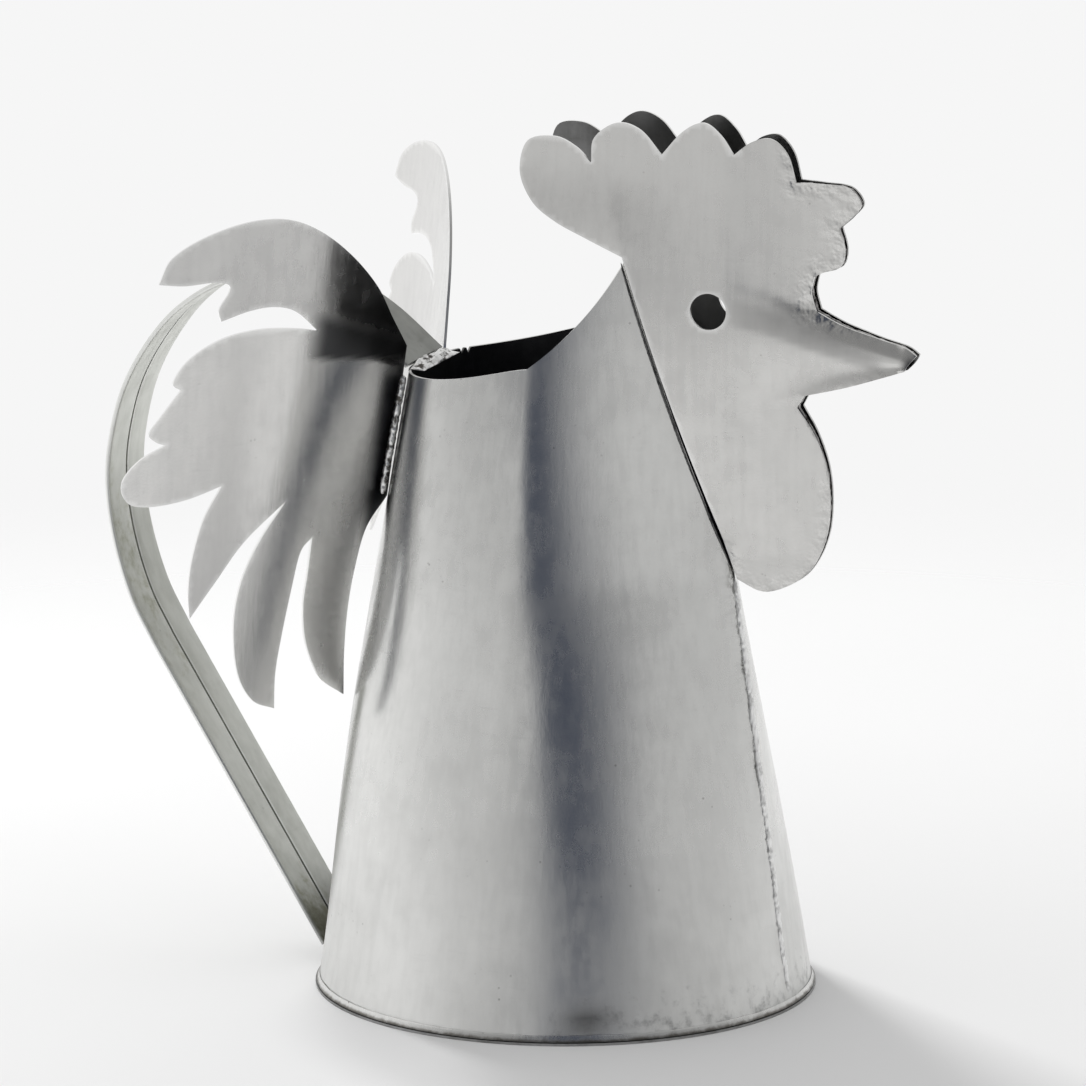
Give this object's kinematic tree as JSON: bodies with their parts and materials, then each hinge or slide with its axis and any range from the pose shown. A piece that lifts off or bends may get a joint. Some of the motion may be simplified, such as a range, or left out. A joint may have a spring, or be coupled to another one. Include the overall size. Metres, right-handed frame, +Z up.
{
  "type": "rooster-shaped sheet-metal pitcher",
  "caption": "Open jug of soldered sheet metal in the shape of a rooster, with a beak spout, a comb, a fan tail and a folded strip handle.",
  "frame": {"origin": "centre of the round base's underside", "axes": "+Z up, +X towards the beak, +Y towards the bird's left side"},
  "size_m": [0.2628, 0.1828, 0.2715],
  "materials": {
    "sheet": "bare galvanised sheet with a soft sheen, rolled grain, scuffs and a faint mottle",
    "solder": "lumpy bright tin solder with dark flux in the hollows",
    "base": "cut sheet edge, darkened"
  },
  "bodies": {
    "root": {"body_shell": "sheet", "base_disc": "base", "base_solder": "solder", "front_seam_solder": "solder", "head_sheet_right": "sheet", "head_sheet_left": "sheet", "forehead_solder": "solder", "wattle_solder": "solder", "neck_solder_right": "solder", "neck_solder_left": "solder", "tail_half_right": "sheet", "tail_half_left": "sheet", "tail_solder_right": "solder", "tail_solder_left": "solder", "handle_strip": "sheet", "handle_top_solder": "solder", "handle_foot_solder": "solder"}
  },
  "joints": []
}
